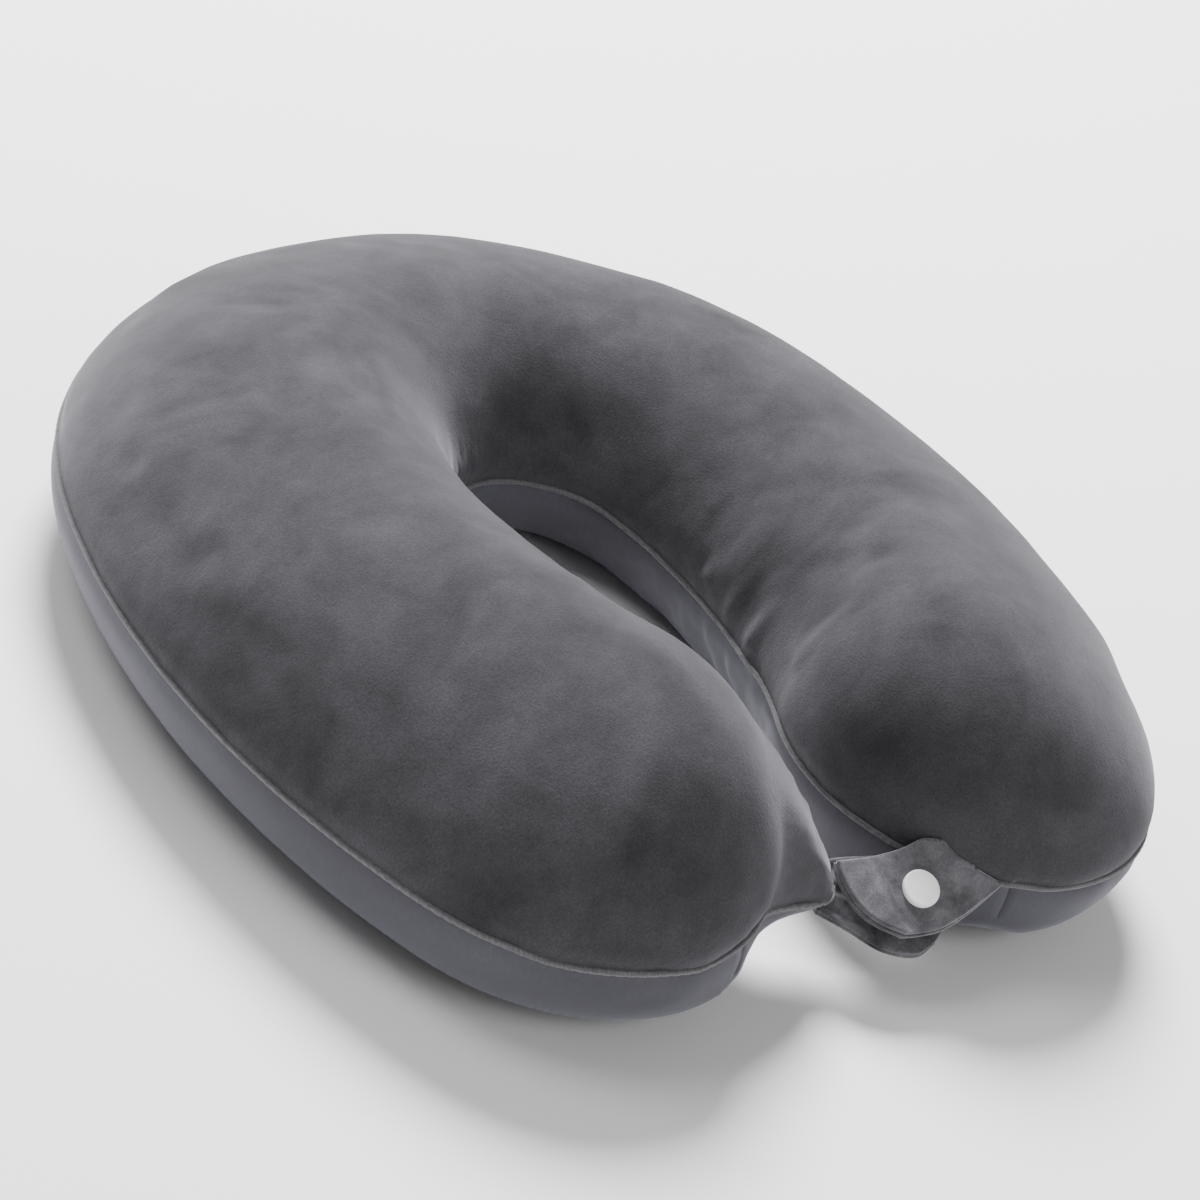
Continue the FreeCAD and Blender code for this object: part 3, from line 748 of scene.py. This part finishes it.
# ---- the tabs ------------------------------------------------------------------------------------
tilt = Matrix.Rotation(STRAP_TILT, 3, "X")
FRONT = tilt @ Vector((0, -1, 0))
rise = Matrix.Rotation(STRAP_RISE, 3, FRONT)
RIGHTWARD = rise @ Vector((1, 0, 0))
OUTWARD = rise @ (tilt @ Vector((0, 0, 1)))


def strap_point(right, front, out=0.0):
    """A point given from the snap's centre: to the right, to the front and out of the closed tabs."""
    return SNAP_CENTRE + RIGHTWARD * right + FRONT * front + OUTWARD * out


def strap_points(points):
    """strap_point for an array of (right, front, out) rows."""
    axes = np.array([RIGHTWARD, FRONT, OUTWARD])
    return np.array(SNAP_CENTRE) + np.asarray(points, float) @ axes


def curve_at(points, shares):
    """A smooth curve through the points, read at shares of its length."""
    p = np.array(points, float)
    ends = np.concatenate([[2 * p[0] - p[1]], p, [2 * p[-1] - p[-2]]])
    t = np.linspace(0, 1, 16, endpoint=False)[:, None]
    pieces = []
    for a, b, c, d in zip(ends, ends[1:], ends[2:], ends[3:]):
        bend, twist = 2 * a - 5 * b + 4 * c - d, 3 * b - a - 3 * c + d
        pieces.append(b + 0.5 * ((c - a) * t + bend * t ** 2 + twist * t ** 3))
    path = np.concatenate(pieces + [p[-1:]])
    length = np.concatenate([[0], np.cumsum(np.linalg.norm(np.diff(path, axis=0), axis=1))])
    at = np.asarray(shares) * length[-1]
    return np.stack([np.interp(at, length, path[:, k]) for k in range(3)], -1)


def patch(back, front, free, root, u, v):
    """Surface between four edge curves: u runs from the free end to the root, v from back to front."""
    b, f = curve_at(back, u)[:, None], curve_at(front, u)[:, None]
    e, r = curve_at(free, v)[None], curve_at(root, v)[None]
    u, v = u[:, None, None], v[None, :, None]
    ruled = (1 - v) * b + v * f + (1 - u) * e + u * r
    corners = (1 - u) * ((1 - v) * b[:1] + v * f[:1]) + u * ((1 - v) * b[-1:] + v * f[-1:])
    return ruled - corners


TAB_LONG, TAB_ACROSS = 61, 41
TAB_EDGE = 0.9               # a ply's edges round off over this
HALF_PLY = 0.62
HEM_EDGE, HEM_RIDGE, HEM_BOW = -12.1, -11.9, 0.015         # where the upper tab's hem ends, a bowed line


def tab_mesh(name, middle, half, nodes):
    """Closes a ply round its middle surface [u, v, xyz] with rounded edges; the root's end stays square."""
    du, dv = np.gradient(middle, axis=0), np.gradient(middle, axis=1)
    normal = np.cross(dv, du)
    normal /= np.maximum(np.linalg.norm(normal, axis=-1, keepdims=True), 1e-9)
    if (normal.reshape(-1, 3) @ np.array(OUTWARD)).mean() < 0:
        normal = -normal
    across = np.linalg.norm(np.diff(middle, axis=1), axis=-1).cumsum(axis=1)
    across = np.concatenate([np.zeros((len(middle), 1)), across], axis=1)
    along = np.linalg.norm(np.diff(middle, axis=0), axis=-1).cumsum(axis=0)
    along = np.concatenate([np.zeros((1, middle.shape[1])), along], axis=0)
    edge = np.minimum(np.minimum(across, across[:, -1:] - across), along)
    k = np.clip(edge / TAB_EDGE, 0, 1)
    half = (half * np.sqrt(np.clip(1 - (1 - k) ** 2, 0, 1)))[..., None]
    verts = np.concatenate([(middle + normal * half).reshape(-1, 3), (middle - normal * half).reshape(-1, 3)])
    long, wide = middle.shape[:2]
    n = long * wide
    faces = []
    for i in range(long - 1):
        for j in range(wide - 1):
            a, b = i * wide + j, (i + 1) * wide + j
            faces.append((a, a + 1, b + 1, b))
            faces.append((n + a, n + b, n + b + 1, n + a + 1))
    last = n - wide
    for j in range(wide - 1):
        faces.append((last + j, last + j + 1, n + last + j + 1, n + last + j))
    obj = new_object(name, verts, faces, SHEEN_PAINTED_TAB_VELOUR)
    tidy_mesh(obj)
    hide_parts(*nodes)
    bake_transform(obj)
    return obj


def clear_of(tree, points, gap):
    """Moves points out of the pillow's cover until they clear it by gap (one value per row)."""
    for i in range(points.shape[0]):
        for j in range(points.shape[1]):
            point = Vector(points[i, j])
            found, normal, _, _ = tree.find_nearest(point * MM)
            depth = (point - found / MM).dot(normal)
            if depth < gap[i]:
                points[i, j] = point + normal * (gap[i] - depth)
    return points


def build_right_tab(tree):
    """The upper tab: two plies with a folded hem at the free end, sewn down on the right arm's front."""
    free = [(-20.7, -13.4, 0), (-21.3, -9.8, 0), (-20.3, -3.2, 0), (-18.5, 1.6, 0)]
    free += [(-14.8, 6.3, 0), (-8.8, 10.6, 0)]
    front = [(-8.8, 10.6, 0), (-4.4, 11.4, 0), (2, 11.6, 0), (9, 10.1, 0), (16.6, 7.6, 0.3), (24.6, 4.7, 1.0)]
    back = [(-20.7, -13.4, 0), (-10.1, -12.3, 0), (-0.7, -12.3, 0.6), (5.0, -12.9, 3.0), (8.8, -11.6, 4.2)]
    root = [(8.8, -11.6, 4.2), (12.6, -8.4, 4.2), (16.2, -3.8, 3.0), (18.6, -0.4, 2.2), (24.6, 4.7, 1.0)]
    u, v = clustered(TAB_LONG), clustered(TAB_ACROSS)
    local = patch(back, front, free, root, u, v)
    right, ahead = local[..., 0], local[..., 1]
    bowed = HEM_BOW * (ahead + 6) ** 2
    hem = smooth((HEM_EDGE + bowed - right) / 0.7)
    ridge = np.exp(-((right - HEM_RIDGE - bowed) / 0.55) ** 2)
    calm = 1 - np.exp(-((right ** 2 + ahead ** 2) / 60) ** 2)
    ripple = np.sin(ahead / 2.3 + right / 19 + 0.6) * smooth((right - 2) / 12) * calm
    local[..., 2] += 0.3 * ripple + 0.5 * ((ahead + 1) / 12) ** 2 * smooth((-right - 6) / 12)
    gap = 0.9 * (1 - smooth((u - 0.80) / 0.15)) + 0.15
    for name, nodes, out, peek in (("upper_tab", ["right_tab_outer", "right_tab_tail"], 0.58, 0.0),
                                   ("upper_tab_back", ["right_tab_inner"], -0.62, 1.1)):
        ply = local.copy()
        ply[..., 2] += out
        beyond = np.exp(-(u / 0.10) ** 2)[:, None] * smooth((v + 0.25) / 0.6)[None]
        ply[..., 0] -= peek * beyond
        ply[..., 1] += 0.55 * peek * (v ** 6)[None] * (1 - u ** 4)[:, None]
        points = clear_of(tree, strap_points(ply), gap + out)
        half = HALF_PLY + (0.45 * hem + 0.35 * ridge if out > 0 else 0.0)
        rim = np.exp(-((1 - v) / 0.035) ** 2)[None] * (1 - u ** 6)[:, None]
        tab_mesh(name, points, half + 0.12 * rim, nodes)


def build_left_tab():
    """The lower tab: out of the drawn corner of the left arm, passing under the upper one."""
    drop = -LEFT_TAB_DROP
    free = [(9.4, -9.6, drop), (10.6, -4.0, drop), (9.6, 3.0, drop), (7.0, 9.6, drop)]
    free += [(2.0, 13.6, drop)]
    front = [(2.0, 13.6, drop), (-5.2, 15.7, drop), (-14.5, 11.7, drop)]
    front += [(-22.5, 4.0, -4.6), (-30, -2.0, -3.0)]
    back = [(9.4, -9.6, drop), (0, -12.3, drop), (-10, -14.3, drop), (-20, -15.5, -4.6), (-26, -14.5, -3)]
    root = [(-26, -14.5, -3), (-28.5, -8, -2.8), (-30, -2.0, -3.0)]
    u, v = clustered(TAB_LONG), clustered(TAB_ACROSS)
    local = patch(back, front, free, root, u, v)
    gather = smooth((-local[..., 0] - 6) / 12) * np.sin(19 * v + 1.5)[None] * (1 - 0.4 * np.sin(7 * v))[None]
    local[..., 2] += 0.5 * gather
    rim = np.exp(-((1 - v) / 0.04) ** 2)[None] * (1 - u ** 4)[:, None]
    for name, nodes, out in (("lower_tab", ["left_tab_outer", "left_tab_tail"], 0.55),
                             ("lower_tab_back", ["left_tab_inner"], -0.55)):
        ply = local.copy()
        ply[..., 2] += out
        ply[..., 1] += (0.0 if out > 0 else 0.5) * (v ** 6)[None]
        tab_mesh(name, strap_points(ply), HALF_PLY + 0.1 * rim, nodes)


# ---- the snap ------------------------------------------------------------------------------------
SNAP_SIDES = 64


def turned(name, profile, material, body, slot, *nodes):
    """A round piece on the snap's axis from (radius, height) points, first and last on the axis."""
    verts, faces, rings = [], [], []
    for radius, height in profile:
        if radius < 1e-6:
            rings.append([len(verts)])
            verts.append(strap_point(0, 0, height))
            continue
        ring = []
        for k in range(SNAP_SIDES):
            angle = 2 * math.pi * k / SNAP_SIDES
            ring.append(len(verts))
            verts.append(strap_point(radius * math.cos(angle), radius * math.sin(angle), height))
        rings.append(ring)
    for a, b in zip(rings, rings[1:]):
        for k in range(SNAP_SIDES):
            m = (k + 1) % SNAP_SIDES
            if len(a) == 1:
                faces.append((a[0], b[k], b[m]))
            elif len(b) == 1:
                faces.append((a[k], b[0], a[m]))
            else:
                faces.append((a[k], b[k], b[m], a[m]))
    obj = new_object(name, verts, faces, material, body)
    tidy_mesh(obj)
    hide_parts(*nodes)
    return obj


def arc(cx, cy, radius, start, stop, steps=6):
    """Profile points of an arc, angles in degrees."""
    turns = [math.radians(start + (stop - start) * i / steps) for i in range(steps + 1)]
    return [(cx + radius * math.cos(a), cy + radius * math.sin(a)) for a in turns]


CAP_RADIUS = 5.35


def build_snap():
    """Cap and socket on the upper tab, stud and its cap on the lower one; heights are out of the tabs."""
    face = 1.15              # the upper tab's faces, from its middle
    dome = [(CAP_RADIUS - 0.75 + 0.75 * math.cos(a), face + 0.95 + 0.75 * math.sin(a))
            for a in np.linspace(0, math.radians(80), 7)]
    crown = [(r, face + 1.72 - 0.22 * (r / 4.6) ** 2) for r in (4.2, 3.2, 2.0, 1.0)] + [(0.0, face + 1.73)]
    cap = [(0.0, face - 1.4), (1.0, face - 1.4), (1.0, face + 0.1), (CAP_RADIUS - 0.5, face + 0.05)]
    cap += arc(CAP_RADIUS - 0.25, face + 0.3, 0.25, -90, 0, 3) + dome + crown
    turned("snap_cap_finished", cap, WHITE, "right_tab", "snap_white", "snap_cap")
    low = -face - 2.1
    socket = [(0.0, -face), (4.3, -face)] + arc(4.4, -face - 0.4, 0.4, 90, 0, 3)
    socket += arc(4.4, low + 0.4, 0.4, 0, -90, 3) + [(2.9, low)] + arc(2.9, low + 0.6, 0.6, -90, -180, 3)
    socket += [(2.35, low + 0.9), (2.5, low + 1.2), (2.5, -face - 0.45), (0.0, -face - 0.42)]
    turned("snap_socket_finished", socket, CLEAR, "right_tab", "snap_clear", "snap_socket")
    top = low - 0.3
    stud = [(0.0, top - 0.6), (3.9, top - 0.6)] + arc(3.9, top - 0.3, 0.3, -90, 90, 4) + [(2.0, top)]
    stud += [(1.65, top + 0.15), (1.7, top + 0.5)]
    stud += arc(1.35, top + 0.75, 0.45, -20, 90, 4) + [(0.0, top + 1.2)]
    turned("snap_stud_finished", stud, CLEAR, "left_tab", "snap_clear", "snap_stud", "snap_stud_knob")
    under = -LEFT_TAB_DROP - 1.15
    back = [(0.0, top - 0.65), (1.0, top - 0.65), (1.0, under - 0.05), (CAP_RADIUS - 0.5, under)]
    back += arc(CAP_RADIUS - 0.6, under - 0.6, 0.6, 90, -80, 8)
    back += [(3.4, under - 1.22), (1.8, under - 1.28), (0.0, under - 1.3)]
    turned("snap_stud_cap_finished", back, WHITE, "left_tab", "snap_white", "snap_stud_cap")


# ---- making the object -----------------------------------------------------------------------------
settled = settle_cover()
top_moves = (settled[0], settled[1]) if settled else None
low_moves = (settled[0], settled[2]) if settled else None
top_panel = panel("velour_panel", True, TOP_COLUMNS, top_moves, VELOUR, ["top_panel"])
low_panel = panel("knit_panel", False, LOW_COLUMNS, low_moves, KNIT, ["bottom_panel"])
build_welt(top_moves)

for name, sign in (("upper", 1), ("lower", -1)):
    coil("coil_" + name, sign, "zip_coil_" + name)
refined("zip_slider", "zip_slider", METAL, 0.25)
refined("zip_pull", "zip_pull", METAL, 0.22)
for side in ("left", "right"):
    refined("zip_stop_" + side, "pillow", METAL, 0.25)

surface = bmesh.new()
for obj in (top_panel, low_panel):
    surface.from_mesh(obj.data)
tree = BVHTree.FromBMesh(surface)
build_right_tab(tree)
build_left_tab()
surface.free()
build_snap()

for name, material in (("zip_tape_upper", TAPE), ("zip_tape_lower", TAPE),
                       ("inner_liner", LINER), ("foam_core", FOAM)):
    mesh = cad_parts[name].data
    for index in range(len(mesh.materials)):
        mesh.materials[index] = material

# ---- floor, light and camera -----------------------------------------------------------------------
def build_stage():
    h, z = 3.0, -0.0004
    mesh = bpy.data.meshes.new("floor")
    mesh.from_pydata([(-h, -h, z), (h, -h, z), (h, h, z), (-h, h, z)], [], [(0, 1, 2, 3)])
    floor = bpy.data.objects.new("floor", mesh)
    bpy.context.collection.objects.link(floor)
    m = Nodes("floor")
    m.set(Roughness=0.9, Specular_IOR_Level=0.1)
    m.colour(m.ramp(m.noise(3.0, 2.0), [(0.3, 0.93), (0.7, 0.94)]))
    mesh.materials.append(m.material)


def area_light(name, place, size, power):
    light = bpy.data.lights.new(name, "AREA")
    light.shape = "DISK"
    light.size = size
    light.energy = power
    obj = bpy.data.objects.new(name, light)
    bpy.context.collection.objects.link(obj)
    obj.location = place
    obj.rotation_euler = (Vector((0, 0, 0.03)) - Vector(place)).to_track_quat("-Z", "Y").to_euler()


def build_lights():
    area_light("key", (0.5, 1.2, 1.6), 0.9, 150)
    area_light("fill", (0.3, -1.7, 1.3), 1.2, 14)
    area_light("side", (-0.9, 0.6, 1.7), 1.0, 14)
    world = bpy.data.worlds.new("studio")
    bpy.context.scene.world = world
    world.use_nodes = True
    background = world.node_tree.nodes["Background"]
    background.inputs["Color"].default_value = (1, 1, 1, 1)
    background.inputs["Strength"].default_value = 0.28


def build_camera():
    """Camera at the side of the left arm, above and in front, rolled as the picture is."""
    azimuth, elevation, roll = math.radians(-44.055), math.radians(31.22), math.radians(19.81)
    distance, lens = 900.0, 93.04
    target = Vector((-1.7, -18.0, 32.2))
    back = Vector((math.sin(azimuth) * math.cos(elevation), -math.cos(azimuth) * math.cos(elevation),
                   math.sin(elevation)))
    right = Vector((math.cos(azimuth), math.sin(azimuth), 0))
    up = back.cross(right)
    x = right * math.cos(roll) + up * math.sin(roll)
    y = up * math.cos(roll) - right * math.sin(roll)
    data = bpy.data.cameras.new("camera")
    data.lens, data.sensor_width = lens, 36.0
    data.clip_start, data.clip_end = 0.01, 20.0
    obj = bpy.data.objects.new("camera", data)
    bpy.context.collection.objects.link(obj)
    place = (target + back * distance) * MM
    obj.matrix_world = Matrix.Translation(place) @ Matrix((x, y, back)).transposed().to_4x4()
    bpy.context.scene.camera = obj


build_stage()
build_lights()
build_camera()
